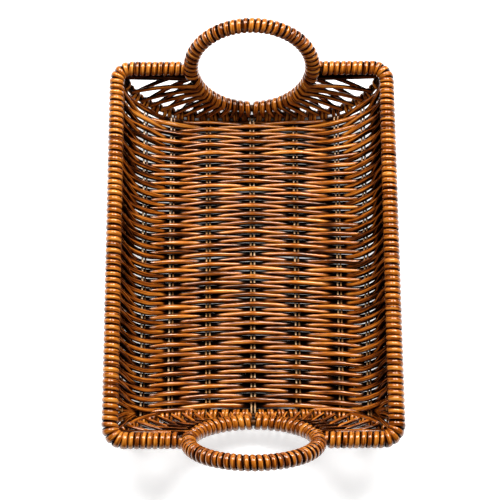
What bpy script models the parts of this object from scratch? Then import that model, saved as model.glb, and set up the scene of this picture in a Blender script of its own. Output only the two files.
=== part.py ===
# Wicker bottle basket: an open woven trough with a bound rim and a bound hoop handle at each end.
# Metres, +Z up. Y runs along the basket (+Y is the far end), and the floor's undersides lie on z = 0.
import math
from itertools import accumulate

import bmesh
import bpy
from mathutils import Vector

# Driving dimensions
RIM_LENGTH = 0.340              # rim pole, centre to centre along Y
RIM_WIDTH = 0.247               # rim pole, centre to centre along X
RIM_CORNER_RADIUS = 0.013       # centreline
BOUND_DIAMETER = 0.013          # rim and handles over their binding
WRAP_PITCH = 0.00532            # one wrap of the rim's binding reed to the next
WRAP_DEPTH = 0.0010             # dip between two wraps
CORE_DIAMETER = 0.007           # rattan pole inside the binding
TROUGH_DEPTH = 0.052            # rim centreline down to the floor's middle surface
WALL_INSET = 0.0045             # rim centreline in to the top of the wall
FLOOR_FLAT_WIDTH = 0.088
HOOP_WIDTH = 0.111              # centreline
HOOP_HEIGHT = 0.098             # centreline, measured in the hoop's own plane
HOOP_RISE = 0.0058              # hoop centre above the rim centreline
END_INSET = 0.003               # rim end bar in to the leaning plane of hoop and bow, at rim height
END_LEAN = math.radians(26)     # hoops and bows lean out at the top
BOW_DIAMETER = 0.0035
STAKE_DIAMETER = 0.0021
STAKE_PAIR_SPACING = 0.0034
WEAVER_DIAMETER = 0.0033
LACING_DIAMETER = 0.0027
ROW_GAP = 0.00085               # mean gap between neighbouring rows, at the middle of the floor
CLEARANCE = 0.0003              # what touches on the real basket keeps this gap
STAKE_CLEARANCE = 0.00045       # weaver to stake, which leaves room for the weaver's bend

# Counts and shares
WALL_CURVE_POWER = 2.1          # superellipse exponent of the wall
LACING_LOOPS = 24
WEAVER_COUNT = 8                # strands that share the rows between them
ROW_CROWDING_SHARE = 0.11       # rows are this much tighter than the mean at the far end, wider at the near
NEAR_SWEEP_SHARE = 0.36         # how far the last rows still follow the far bow
LACING_REACH = math.radians(72)  # lacing on the hoop, each way from its lowest point
LEFT_STAKE_SHARES = (0.90, 0.69, 0.525, 0.295)
RIGHT_STAKE_SHARES = (0.295, 0.555, 0.745, 0.90)
CORNER_ROWS = 4                 # short rows that fill each near corner
LONG_CORNER_ROWS = 2            # those of them that cross two stakes
HOOP_TURN_STEPS = 4             # bends of a lacing loop round the hoop
BOW_TURN_STEPS = 3              # and round the bow
TURN_RISE_SHARE = 0.45          # rise over run of a short row where it comes off its last stake
WRAP_LEVEL_SHARE = 0.45         # 0: the wraps lean evenly all round; 1: hardly on top and most at the bottom
END_WRAP_SHARE = 0.125          # no crest or dip closer than this share of a wrap to the binding's ends
UNDERSIDE_WRAP_COUNT = 2        # under the rim, one crest stands for this many wraps

RATTAN = (0.30, 0.105, 0.022, 1.0)
RATTAN_LIGHT = (0.42, 0.17, 0.04, 1.0)
RATTAN_DARK = (0.16, 0.05, 0.012, 1.0)
RATTAN_ROUGHNESS = 0.32

weaver_radius = WEAVER_DIAMETER / 2
stake_radius = STAKE_DIAMETER / 2
lacing_radius = LACING_DIAMETER / 2
bound_radius = BOUND_DIAMETER / 2
core_radius = CORE_DIAMETER / 2
bow_radius = BOW_DIAMETER / 2
floor_flat = FLOOR_FLAT_WIDTH / 2
wall_half_width = RIM_WIDTH / 2 - WALL_INSET
wall_span = wall_half_width - floor_flat
end_plane_y = RIM_LENGTH / 2 - END_INSET
end_sweep = TROUGH_DEPTH * math.tan(END_LEAN)
bow_centre_y = end_plane_y - end_sweep

SQUARE_CORNER = math.sqrt(2)
STRAND_SIDES = 4
ROD_SIDES = 6
BOUND_SIDES = 8


def clear_scene():
    for item in list(bpy.data.objects):
        bpy.data.objects.remove(item, do_unlink=True)


def make_material(name, colour):
    material = bpy.data.materials.new(name)
    material.use_nodes = True
    shader = material.node_tree.nodes["Principled BSDF"]
    shader.inputs["Base Color"].default_value = colour
    shader.inputs["Roughness"].default_value = RATTAN_ROUGHNESS
    shader.inputs["Metallic"].default_value = 0
    return material


# The trough's cross-section: a flat floor that turns up into the walls along a superellipse

def section_curve(steps=48):
    points = [(0.0, -TROUGH_DEPTH)]
    for step in range(steps + 1):
        angle = math.pi / 2 * step / steps
        across = floor_flat + wall_span * math.sin(angle) ** (2 / WALL_CURVE_POWER)
        height = -TROUGH_DEPTH * math.cos(angle) ** (2 / WALL_CURVE_POWER)
        points.append((across, height))
    return points


curve = section_curve()
runs = [math.dist(a, b) for a, b in zip(curve, curve[1:])]
arcs = [0.0, *accumulate(runs)]
half_arc = arcs[-1]


def section_at(arc):
    """X, Z and the inward normal of the wall at a distance along it from the floor's middle, left negative."""
    side = -1 if arc < 0 else 1
    length = min(abs(arc), half_arc)
    index = next((i for i, end in enumerate(arcs[1:]) if end >= length), len(runs) - 1)
    share = (length - arcs[index]) / runs[index]
    (x0, z0), (x1, z1) = curve[index], curve[index + 1]
    tangent = Vector((x1 - x0, z1 - z0)).normalized()
    x = x0 + (x1 - x0) * share
    z = z0 + (z1 - z0) * share
    return side * x, z, Vector((-side * tangent.y, 0, tangent.x))


def arc_below_rim(reach):
    """The highest point of the wall that stays this far from the rim's centreline."""
    for arc, (x, z) in reversed(list(zip(arcs, curve))):
        if math.hypot(RIM_WIDTH / 2 - x, z) >= reach:
            return arc
    return 0.0


def on_wall(arc, middle_y, sweep, lift):
    """A point of a strand that crosses the floor at middle_y and leads by sweep at the rim."""
    x, z, normal = section_at(arc)
    y = middle_y + sweep * (1 + z / TROUGH_DEPTH)
    return Vector((x, y, z)) + normal * lift, normal


# Swept strands

def ring_axes(points, ups, index):
    before = points[max(index - 1, 0)]
    after = points[min(index + 1, len(points) - 1)]
    here = points[index]
    ways = [way.normalized() for way in (here - before, after - here) if way.length > 0]
    along = sum(ways, Vector()).normalized()
    across = along.cross(ups[index]).normalized()
    return across, across.cross(along).normalized()


def add_rings(mesh, points, ups, radius, sides):
    rings = []
    for index, point in enumerate(points):
        across, up = ring_axes(points, ups, index)
        ring = []
        for side in range(sides):
            angle = 2 * math.pi * (side + 0.5) / sides
            ring.append(mesh.verts.new(point + (across * math.cos(angle) + up * math.sin(angle)) * radius))
        rings.append(ring)
    return rings


def skin(mesh, rings):
    for first, second in zip(rings, rings[1:]):
        for side in range(len(first)):
            following = (side + 1) % len(first)
            mesh.faces.new((first[side], first[following], second[following], second[side]))


def finish(name, mesh, material, lowest):
    bmesh.ops.recalc_face_normals(mesh, faces=mesh.faces)
    data = bpy.data.meshes.new(name)
    mesh.to_mesh(data)
    mesh.free()
    data.materials.append(material)
    data.shade_smooth()
    item = bpy.data.objects.new(name, data)
    item.location.z = lowest
    bpy.context.scene.collection.objects.link(item)
    return item


def rod(name, points, ups, radius, sides, material, lowest):
    mesh = bmesh.new()
    rings = add_rings(mesh, points, ups, radius, sides)
    skin(mesh, rings)
    mesh.faces.new(rings[0])
    mesh.faces.new(rings[-1])
    return finish(name, mesh, material, lowest)


def strand(name, points, ups, radius, material, lowest):
    return rod(name, points, ups, radius * SQUARE_CORNER, STRAND_SIDES, material, lowest)


def sleeve(name, points, ups, radius, bore, material, lowest):
    mesh = bmesh.new()
    outer = add_rings(mesh, points, ups, radius, BOUND_SIDES)
    inner = add_rings(mesh, points, ups, bore, BOUND_SIDES)
    skin(mesh, outer)
    skin(mesh, inner)
    for end in (0, -1):
        skin(mesh, (outer[end], inner[end]))
    return finish(name, mesh, material, lowest)


# Woven rows

stake_arcs = [-share * half_arc for share in LEFT_STAKE_SHARES]
stake_arcs += [0.0]
stake_arcs += [share * half_arc for share in RIGHT_STAKE_SHARES]
middle_stake = len(LEFT_STAKE_SHARES)
flat_stakes = (middle_stake - 1, middle_stake, middle_stake + 1)
narrowest = min(b - a for a, b in zip(stake_arcs, stake_arcs[1:]))
weave_lift = (weaver_radius + stake_radius + STAKE_CLEARANCE) / (1 - STAKE_PAIR_SPACING / narrowest)
floor_height = TROUGH_DEPTH + weave_lift + weaver_radius
turn_arc = arc_below_rim(bound_radius + CLEARANCE + weaver_radius * SQUARE_CORNER)

bow_wrap = (bow_radius + CLEARANCE + lacing_radius) / math.cos(math.pi / 2 / BOW_TURN_STEPS)
hoop_wrap = (core_radius + CLEARANCE + lacing_radius) / math.cos(math.pi / 2 / HOOP_TURN_STEPS)
bow_to_weave = (bow_wrap + lacing_radius + CLEARANCE + weaver_radius) / math.cos(END_LEAN)
first_row_y = bow_centre_y - bow_to_weave
border_y = -first_row_y
row_pitch = WEAVER_DIAMETER + ROW_GAP
row_span = 2 * first_row_y - row_pitch * (1 + ROW_CROWDING_SHARE)
row_count = int(row_span / row_pitch) + 1


def row_place(row):
    """Y of a row at the middle of the floor, and its lead at the rim."""
    share = row / (row_count - 1)
    travelled = share * (1 - ROW_CROWDING_SHARE) + ROW_CROWDING_SHARE * share ** 2
    near_sweep = end_sweep * NEAR_SWEEP_SHARE
    sweep = near_sweep + (end_sweep - near_sweep) * (1 - share) ** 2
    return first_row_y - row_span * travelled, sweep


def over(row, stake):
    return 1 if (row + stake) % 2 else -1


def row_stations(row):
    """Distances along the wall and lifts where a full row bends, from left to right."""
    stations = []
    pair_reach = STAKE_PAIR_SPACING / 2 + stake_radius
    for stake, arc in enumerate(stake_arcs):
        side = over(row, stake)
        if stake in flat_stakes and side < 0:
            stations += [(arc - pair_reach, -weave_lift), (arc + pair_reach, -weave_lift)]
        else:
            stations.append((arc, side * weave_lift))
        curved = stake < middle_stake - 2 or middle_stake + 2 <= stake < len(stake_arcs) - 1
        if curved:
            stations.append(((arc + stake_arcs[stake + 1]) / 2, 0))
    return [(-turn_arc, 0), *stations, (turn_arc, 0)]


def weave_full_row(row, rightward):
    middle_y, sweep = row_place(row)
    stations = row_stations(row)
    return [on_wall(arc, middle_y, sweep, lift) for arc, lift in (stations if rightward else stations[::-1])]


def make_weavers(material, lowest):
    first_rows = [row_count * number // WEAVER_COUNT for number in range(WEAVER_COUNT + 1)]
    for number, (start, end) in enumerate(zip(first_rows, first_rows[1:]), 1):
        bends = []
        for row in range(start, end):
            bends += weave_full_row(row, rightward=row % 2 == 0)
        points, ups = zip(*bends)
        strand(f"weaver_{number:02d}", points, ups, weaver_radius, material, lowest)


def make_border_weaver(material, lowest):
    stations = row_stations(row_count + CORNER_ROWS)
    points, ups = zip(*[on_wall(arc, border_y, -end_sweep, lift) for arc, lift in stations])
    strand("border_weaver", points, ups, weaver_radius, material, lowest)


def corner_point(side, arc, lift, share):
    """A point between the last full row and the border, at this share of the gap."""
    last_y, last_sweep = row_place(row_count - 1)
    last, normal = on_wall(side * arc, last_y, last_sweep, lift)
    border, _ = on_wall(side * arc, border_y, -end_sweep, lift)
    return last.lerp(border, share), normal


def make_corner_weaver(name, side, material, lowest):
    outermost = 0 if side < 0 else len(stake_arcs) - 1
    inner = outermost - side
    outer_arc = abs(stake_arcs[outermost])
    inner_arc = abs(stake_arcs[inner])
    outer_turn = outer_arc - weave_lift / TURN_RISE_SHARE
    inner_turn = inner_arc - weave_lift / TURN_RISE_SHARE - STAKE_PAIR_SPACING
    bends = []
    for row in range(CORNER_ROWS):
        weave_row = row_count + row
        wide_share = (row + 1) / (CORNER_ROWS + 1)
        outer_lift = over(weave_row, outermost) * weave_lift
        line = [(turn_arc, 0, wide_share), (outer_arc, outer_lift, wide_share)]
        if row < LONG_CORNER_ROWS:
            tight_share = (row + 1) / (LONG_CORNER_ROWS + 1)
            inner_lift = over(weave_row, inner) * weave_lift
            line.append(((outer_arc + inner_arc) / 2, 0, (wide_share + tight_share) / 2))
            line += [(inner_arc, inner_lift, tight_share), (inner_turn, 0, tight_share)]
        else:
            line.append((outer_turn, 0, wide_share))
        line = line if row % 2 == 0 else line[::-1]
        bends += [corner_point(side, arc, lift, share) for arc, lift, share in line]
    points, ups = zip(*bends)
    strand(name, points, ups, weaver_radius, material, lowest)


# Stakes: straight reeds that run from bow to bow, in pairs but for the one under each side of the rim

def make_stakes(material, lowest):
    setback = (bow_wrap + lacing_radius + CLEARANCE + stake_radius) / math.cos(END_LEAN)
    for stake, arc in enumerate(stake_arcs):
        single = stake in (0, len(stake_arcs) - 1)
        reeds = {"": 0} if single else {"a": -STAKE_PAIR_SPACING / 2, "b": STAKE_PAIR_SPACING / 2}
        for letter, shift in reeds.items():
            far, normal = on_wall(arc + shift, bow_centre_y, end_sweep, 0)
            far.y -= setback
            near = Vector((far.x, -far.y, far.z))
            rod(f"stake_{stake + 1}{letter}", (near, far), (normal, normal), stake_radius, ROD_SIDES, material,
                lowest)


# Rim: a pole on each side that turns both corners and ends against the hoops, with reed wound over it

bar_run = RIM_WIDTH / 2 - RIM_CORNER_RADIUS - HOOP_WIDTH / 2 - bound_radius - CLEARANCE
corner_run = RIM_CORNER_RADIUS * math.pi / 2
side_run = RIM_LENGTH - 2 * RIM_CORNER_RADIUS
rim_run = side_run + 2 * (corner_run + bar_run)
wrap_count = round(rim_run / WRAP_PITCH)


def rim_at(side, place):
    """A point of the rim's centreline and its outward direction, this far along from its near end."""
    end = 1 if place > rim_run / 2 else -1
    past_side = abs(place - rim_run / 2) - side_run / 2
    if past_side < 0:
        return Vector((side * RIM_WIDTH / 2, place - rim_run / 2, 0)), Vector((side, 0, 0))
    angle = min(past_side / RIM_CORNER_RADIUS, math.pi / 2)
    outward = Vector((side * math.cos(angle), end * math.sin(angle), 0))
    centre = Vector((side * (RIM_WIDTH / 2 - RIM_CORNER_RADIUS), end * (RIM_LENGTH / 2 - RIM_CORNER_RADIUS), 0))
    along_bar = Vector((side * max(past_side - corner_run, 0), 0, 0))
    return centre + outward * RIM_CORNER_RADIUS - along_bar, outward


def rim_path(side, corner_steps=4):
    corner = [bar_run + corner_run * step / corner_steps for step in range(corner_steps + 1)]
    places = [0, *corner, *[rim_run - place for place in corner[::-1]], rim_run]
    points = [rim_at(side, place)[0] for place in places]
    return points, [Vector((0, 0, 1))] * len(points)


def wrap_column(mesh, side, column):
    """Vertices along the binding at one angle around it, with their places: each wrap's crest and dip."""
    around = 2 * math.pi * (column + 0.5) / BOUND_SIDES
    turn = around - math.pi / 2
    lead = (turn - WRAP_LEVEL_SHARE * math.sin(turn)) / (2 * math.pi)
    underneath = around > math.pi and abs(math.tan(around)) > 1
    stride = 2 * UNDERSIDE_WRAP_COUNT if underneath else 1
    stations = [(0, 0)]
    for half_wrap in range(-2 * stride, 2 * wrap_count, stride):
        wrap = half_wrap / 2 + lead
        if END_WRAP_SHARE < wrap < wrap_count - END_WRAP_SHARE:
            stations.append((wrap * rim_run / wrap_count, WRAP_DEPTH * (half_wrap % 2)))
    stations.append((rim_run, 0))
    vertices = []
    for place, dip in stations:
        point, outward = rim_at(side, place)
        way = outward * (side * math.cos(around)) + Vector((0, 0, math.sin(around)))
        vertices.append((place, mesh.verts.new(point + way * (bound_radius - dip))))
    return vertices


def join_columns(mesh, first, second):
    """Triangles between two columns, by the shorter diagonal each time, so crest stays with crest."""
    near, far = 0, 0
    while near + 1 < len(first) or far + 1 < len(second):
        if far + 1 == len(second):
            on_first = True
        elif near + 1 == len(first):
            on_first = False
        else:
            on_first = abs(first[near + 1][0] - second[far][0]) <= abs(second[far + 1][0] - first[near][0])
        following = first[near + 1][1] if on_first else second[far + 1][1]
        mesh.faces.new((first[near][1], second[far][1], following))
        near, far = (near + 1, far) if on_first else (near, far + 1)


def make_rim_binding(name, side, material, lowest):
    mesh = bmesh.new()
    path, ups = rim_path(side)
    bore = add_rings(mesh, path, ups, binding_bore, BOUND_SIDES)
    columns = [wrap_column(mesh, side, column) for column in range(BOUND_SIDES)]
    skin(mesh, bore)
    for first, second in zip(columns, [*columns[1:], columns[0]]):
        join_columns(mesh, first, second)
    for end in (0, -1):
        skin(mesh, ([column[end][1] for column in columns], bore[end]))
    return finish(name, mesh, material, lowest)


# Hoops, bows and lacing lie in planes that lean out at the top

def end_frame(end):
    rise = Vector((0, end * math.sin(END_LEAN), math.cos(END_LEAN)))
    back = Vector((0, end * math.cos(END_LEAN), -math.sin(END_LEAN)))
    centre = Vector((0, end * (end_plane_y + HOOP_RISE * math.tan(END_LEAN)), HOOP_RISE))
    return centre, rise, back


def hoop_at(end, angle):
    """A point of the hoop's centreline and its outward direction, from its lowest point round to +X."""
    centre, rise, _ = end_frame(end)
    across = Vector((1, 0, 0))
    point = centre + across * (HOOP_WIDTH / 2 * math.sin(angle)) - rise * (HOOP_HEIGHT / 2 * math.cos(angle))
    outward = across * (HOOP_HEIGHT * math.sin(angle)) - rise * (HOOP_WIDTH * math.cos(angle))
    return point, outward.normalized()


def make_hoop_core(name, end, material, lowest, steps=24):
    mesh = bmesh.new()
    _, _, back = end_frame(end)
    rings = []
    for step in range(steps):
        point, outward = hoop_at(end, 2 * math.pi * step / steps)
        ring = []
        for side in range(ROD_SIDES):
            angle = 2 * math.pi * side / ROD_SIDES
            ring.append(mesh.verts.new(point + (outward * math.cos(angle) + back * math.sin(angle)) * core_radius))
        rings.append(ring)
    skin(mesh, [*rings, rings[0]])
    return finish(name, mesh, material, lowest)


def make_grip_binding(name, end, material, lowest, steps=14):
    start = LACING_REACH + 2 * BOUND_DIAMETER / HOOP_HEIGHT / math.pi
    sweep = 2 * (math.pi - start)
    angles = [start + sweep * step / steps for step in range(steps + 1)]
    points = [hoop_at(end, angle)[0] for angle in angles]
    ups = [end_frame(end)[2]] * len(points)
    return sleeve(name, points, ups, bound_radius, binding_bore, material, lowest)


def bow_at(end, arc):
    point, _ = on_wall(arc, end * bow_centre_y, end * end_sweep, 0)
    return point


def bow_inward(end, arc):
    """The direction in the leaning plane that is square to the bow and points to the hoop's side."""
    along = bow_at(end, arc + bow_radius) - bow_at(end, arc - bow_radius)
    return end_frame(end)[2].cross(along).normalized() * end


def make_bow(name, end, material, lowest, steps=12):
    top = arc_below_rim(bound_radius + CLEARANCE + bow_radius)
    bends = [floor_flat + (top - floor_flat) * step / steps for step in range(steps + 1)]
    points = [bow_at(end, arc) for arc in [-bend for bend in bends[::-1]] + bends]
    ups = [end_frame(end)[2]] * len(points)
    return rod(name, points, ups, bow_radius, ROD_SIDES, material, lowest)


def lacing_bends(end, share, hoop_turns, bow_turns):
    """One loop: round the hoop through the hand hole, then round the bow, stepping along as it goes."""
    _, _, back = end_frame(end)
    top = arc_below_rim(bound_radius + CLEARANCE + bow_wrap + lacing_radius)
    advance = 2 / LACING_LOOPS
    bends = []
    for index, turn in enumerate(hoop_turns):
        place = share + advance * index / (2 * len(hoop_turns))
        point, outward = hoop_at(end, LACING_REACH * place)
        way = outward * math.cos(turn) + back * math.sin(turn)
        bends.append((point + way * hoop_wrap, way))
    for index, turn in enumerate(bow_turns):
        place = share + advance * (0.5 + index / (2 * len(bow_turns)))
        point = bow_at(end, top * place)
        way = back * math.sin(turn) - bow_inward(end, top * place) * math.cos(turn)
        bends.append((point + way * bow_wrap, way))
    return bends


def make_lacing(name, end, material, lowest):
    hoop_turns = [math.pi * (0.5 + step / HOOP_TURN_STEPS) for step in range(HOOP_TURN_STEPS, -1, -1)]
    bow_turns = [math.pi * (0.5 - step / BOW_TURN_STEPS) for step in range(BOW_TURN_STEPS + 1)]
    bends = []
    for loop in range(LACING_LOOPS):
        share = -1 + 2 * loop / LACING_LOOPS
        bends += lacing_bends(end, share, hoop_turns, bow_turns)
    points, ups = zip(*bends)
    return strand(name, points, ups, lacing_radius, material, lowest)


clear_scene()
binding_bore = (core_radius + CLEARANCE) / math.cos(math.pi / BOUND_SIDES)
pole = make_material("rattan_pole", RATTAN_DARK)
reed = make_material("rattan_reed", RATTAN)
bound = make_material("rattan_binding", RATTAN_LIGHT)

for side_name, side in (("left", -1), ("right", 1)):
    path, path_ups = rim_path(side)
    rod(f"rim_core_{side_name}", path, path_ups, core_radius, ROD_SIDES, pole, floor_height)
    make_rim_binding(f"rim_binding_{side_name}", side, bound, floor_height)
    make_corner_weaver(f"corner_weaver_{side_name}", side, reed, floor_height)

for end_name, end in (("far", 1), ("near", -1)):
    make_hoop_core(f"hoop_core_{end_name}", end, pole, floor_height)
    make_grip_binding(f"grip_binding_{end_name}", end, bound, floor_height)
    make_bow(f"bow_{end_name}", end, pole, floor_height)
    make_lacing(f"lacing_{end_name}", end, bound, floor_height)

make_stakes(pole, floor_height)
make_weavers(reed, floor_height)
make_border_weaver(reed, floor_height)

print(f"rows {row_count}, lift {weave_lift * 1000:.2f} mm, floor {floor_height * 1000:.2f} mm, "
      f"stakes at X {[round(section_at(arc)[0] * 1000, 1) for arc in stake_arcs]}")
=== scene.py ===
import math

import bpy
import numpy as np
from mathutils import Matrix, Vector


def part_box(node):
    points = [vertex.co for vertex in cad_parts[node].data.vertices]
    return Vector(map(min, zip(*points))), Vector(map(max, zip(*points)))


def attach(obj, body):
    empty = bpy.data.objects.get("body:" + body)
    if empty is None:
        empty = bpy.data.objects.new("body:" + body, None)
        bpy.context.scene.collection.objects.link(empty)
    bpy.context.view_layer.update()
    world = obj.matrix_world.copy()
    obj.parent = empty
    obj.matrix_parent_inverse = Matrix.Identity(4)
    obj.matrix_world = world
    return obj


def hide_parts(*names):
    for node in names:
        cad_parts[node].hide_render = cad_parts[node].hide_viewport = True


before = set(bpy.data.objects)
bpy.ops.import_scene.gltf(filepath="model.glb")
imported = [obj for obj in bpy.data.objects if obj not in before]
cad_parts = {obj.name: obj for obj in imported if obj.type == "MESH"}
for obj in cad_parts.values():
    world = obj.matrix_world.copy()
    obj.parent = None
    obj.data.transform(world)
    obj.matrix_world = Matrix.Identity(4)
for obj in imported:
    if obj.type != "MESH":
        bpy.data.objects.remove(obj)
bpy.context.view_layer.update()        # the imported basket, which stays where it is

bpy.ops.object.select_all(action="DESELECT")
dice = np.random.default_rng(12)        # seeded, so each run comes out the same
xAxis = np.array((1.0, 0.0, 0.0))
zAxis = np.array((0.0, 0.0, 1.0))

basket = {                              # metres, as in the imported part
    "rimLength": 0.340, "rimWidth": 0.247, "cornerRadius": 0.013,
    "troughDepth": 0.052, "wallInset": 0.0045, "floorHalf": 0.044, "wallPower": 2.1,
    "hoopWidth": 0.111, "hoopHeight": 0.098, "hoopRise": 0.0058,
    "endInset": 0.003, "endLean": math.radians(26),
    "boundRadius": 0.0065, "poleRadius": 0.0035,
}
poleLow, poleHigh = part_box("rim_core_left")
rimZ = (poleLow[2] + poleHigh[2]) / 2
endPlaneY = basket["rimLength"] / 2 - basket["endInset"]
endSweep = basket["troughDepth"] * math.tan(basket["endLean"])
bowY = endPlaneY - endSweep


# Finishes: stained and lacquered rattan. "grain" holds each strand's own coordinates, "tone" its shade,
# painted shade and light included

def addNode(tree, kind, place, **settings):
    node = tree.nodes.new(kind)
    node.location = place
    for key, value in settings.items():
        setattr(node, key, value)
    return node


def blend(tree, place, operation, first, second, clamp=False):
    node = addNode(tree, "ShaderNodeMath", place, operation=operation, use_clamp=clamp)
    for socket, value in zip(node.inputs, (first, second)):
        if isinstance(value, (int, float)):
            socket.default_value = value
        else:
            tree.links.new(value, socket)
    return node.outputs[0]


def stretchedNoise(tree, place, grain, scale, detail):
    mapping = addNode(tree, "ShaderNodeMapping", place)
    mapping.inputs["Scale"].default_value = scale
    noise = addNode(tree, "ShaderNodeTexNoise", (place[0] + 200, place[1]))
    noise.inputs["Scale"].default_value = 1.0
    noise.inputs["Detail"].default_value = detail
    noise.inputs["Roughness"].default_value = 0.6
    tree.links.new(grain, mapping.inputs["Vector"])
    tree.links.new(mapping.outputs[0], noise.inputs["Vector"])
    return noise.outputs["Fac"]


mixed = {"streak": 0.55, "fibre": 0.25, "patch": 0.20, "glossTint": (1.0, 0.45, 0.15, 1.0)}    # in all four
finishes = {
    "reed": {
        "stops": ((0.0, (0.006, 0.002, 0.001)), (0.20, (0.048, 0.009, 0.001)), (0.42, (0.235, 0.047, 0.003)),
                  (0.66, (0.500, 0.132, 0.008)), (1.0, (0.770, 0.290, 0.042))),
        "streak": (28, 750, 750), "fibre": (120, 3600, 3600), "patch": (22, 90, 90),
        "contrast": 4.2, "roughness": (0.20, 0.34), "bump": 0.00012,
        "polish": 3.0, "sheen": 0.75, "coat": 0.95, "coatRoughness": 0.08,
    },
    "binding": {
        "stops": ((0.0, (0.006, 0.002, 0.001)), (0.20, (0.056, 0.010, 0.001)), (0.42, (0.270, 0.056, 0.004)),
                  (0.66, (0.550, 0.152, 0.009)), (1.0, (0.800, 0.315, 0.048))),
        "streak": (32, 640, 640), "fibre": (140, 3400, 3400), "patch": (30, 100, 100),
        "contrast": 4.0, "roughness": (0.20, 0.32), "bump": 0.00012,
        "polish": 3.0, "sheen": 0.70, "coat": 1.0, "coatRoughness": 0.07,
    },
    "stake": {
        "stops": ((0.0, (0.006, 0.002, 0.001)), (0.35, (0.160, 0.055, 0.015)), (0.7, (0.560, 0.270, 0.090)),
                  (1.0, (0.900, 0.640, 0.380))),
        "streak": (28, 750, 750), "fibre": (120, 3600, 3600), "patch": (22, 90, 90),
        "contrast": 1.2, "roughness": (0.20, 0.34), "bump": 0.00010,
        "polish": 3.0, "sheen": 0.8, "coat": 0.90, "coatRoughness": 0.10,
    },
    "pole": {
        "stops": ((0.0, (0.006, 0.002, 0.001)), (0.5, (0.080, 0.024, 0.005)), (1.0, (0.300, 0.110, 0.025))),
        "streak": (20, 420, 420), "fibre": (90, 2600, 2600), "patch": (14, 60, 60),
        "contrast": 1.8, "roughness": (0.38, 0.55), "bump": 0.00010,
        "polish": 3.0, "sheen": 0.50, "coat": 0.25, "coatRoughness": 0.25,
    },
}


def colourRamp(tree, place, factor, stops):
    ramp = addNode(tree, "ShaderNodeValToRGB", place)
    elements = ramp.color_ramp.elements
    while len(elements) < len(stops):
        elements.new(0.5)
    for element, (spot, colour) in zip(elements, stops):
        element.position = spot
        element.color = (*colour, 1.0)
    tree.links.new(factor, ramp.inputs[0])
    return ramp.outputs[0]


def makeFinish(name, values):
    material = bpy.data.materials.new(name)
    material.use_nodes = True
    tree = material.node_tree
    shader = tree.nodes["Principled BSDF"]
    grain = addNode(tree, "ShaderNodeAttribute", (-1500, 0), attribute_name="grain").outputs["Vector"]
    tone = addNode(tree, "ShaderNodeAttribute", (-1500, -300), attribute_name="tone").outputs["Fac"]
    streak = stretchedNoise(tree, (-1250, 250), grain, values["streak"], 3.0)
    fibre = stretchedNoise(tree, (-1250, 0), grain, values["fibre"], 2.0)
    patch = stretchedNoise(tree, (-1250, -250), grain, values["patch"], 2.0)
    both = blend(tree, (-750, 200), "ADD", blend(tree, (-900, 250), "MULTIPLY", streak, mixed["streak"]),
                 blend(tree, (-900, 50), "MULTIPLY", fibre, mixed["fibre"]))
    blotch = blend(tree, (-750, -50), "MULTIPLY", patch, mixed["patch"])
    shade = blend(tree, (-600, 100), "ADD", both, blotch)
    centred = blend(tree, (-450, 100), "MULTIPLY", blend(tree, (-600, -100), "SUBTRACT", shade, 0.5),
                    values["contrast"])
    # the tone brings the strands' painted shade and light into the colour
    stained = blend(tree, (-300, 100), "ADD", centred, tone, clamp=True)
    tree.links.new(colourRamp(tree, (-150, 200), stained, values["stops"]), shader.inputs["Base Color"])
    gloss = addNode(tree, "ShaderNodeMapRange", (-150, -150))
    gloss.inputs["To Min"].default_value, gloss.inputs["To Max"].default_value = values["roughness"]
    tree.links.new(streak, gloss.inputs["Value"])
    tree.links.new(gloss.outputs[0], shader.inputs["Roughness"])
    bump = addNode(tree, "ShaderNodeBump", (-150, -400))
    bump.inputs["Distance"].default_value = values["bump"]
    tree.links.new(both, bump.inputs["Height"])
    tree.links.new(bump.outputs[0], shader.inputs["Normal"])
    # sheen and coat follow the colour's lightness, so the painted shade dims the gloss too
    polishAndShade = blend(tree, (-150, -650), "MULTIPLY", stained, values["polish"], clamp=True)
    for socket, level in (("Specular IOR Level", values["sheen"]), ("Coat Weight", values["coat"])):
        tree.links.new(blend(tree, (0, -650), "MULTIPLY", polishAndShade, level), shader.inputs[socket])
    shader.inputs["Specular Tint"].default_value = mixed["glossTint"]
    shader.inputs["Coat Roughness"].default_value = values["coatRoughness"]
    return material


cutReed = {"pores": 2600, "stops": ((0.35, (0.30, 0.13, 0.04)), (0.6, (0.68, 0.42, 0.20))), "roughness": 0.6}


def makeCutFinish(name):
    material = bpy.data.materials.new(name)
    material.use_nodes = True
    tree = material.node_tree
    shader = tree.nodes["Principled BSDF"]
    place = addNode(tree, "ShaderNodeTexCoord", (-900, 0)).outputs["Object"]
    pores = addNode(tree, "ShaderNodeTexNoise", (-700, 0))
    pores.inputs["Scale"].default_value = cutReed["pores"]
    tree.links.new(place, pores.inputs["Vector"])
    colour = colourRamp(tree, (-400, 0), pores.outputs["Fac"], cutReed["stops"])
    tree.links.new(colour, shader.inputs["Base Color"])
    shader.inputs["Roughness"].default_value = cutReed["roughness"]
    return material


reedFinish = makeFinish("stainedReed", finishes["reed"])
bindingFinish = makeFinish("stainedBinding", finishes["binding"])
poleFinish = makeFinish("stainedPole", finishes["pole"])
stakeFinish = makeFinish("stakeReed", finishes["stake"])
cutFinish = makeCutFinish("cutReed")
print("finishes made")


# Strands: a rounded section swept along a path, with its own width and thickness at each point

strandShape = {
    "paintedShade": 0.45, "edgePower": 2,          # painted shade, darker towards both edges
    "paintedShadeFrom": 0.50, "paintedShadeSpan": 0.48,   # painted shade where it passes behind, in shares of the crest's height
    "cutEnd": ((0.10, 0.88),), "roundEnd": ((0.38, 0.88), (0.66, 0.58)),    # way past the end, and size
}


def grainStart():                       # each strand has its own stretch of the pattern
    return dice.uniform(0, 9)


def unit(vectors):
    return vectors / np.linalg.norm(vectors, axis=-1, keepdims=True)


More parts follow.
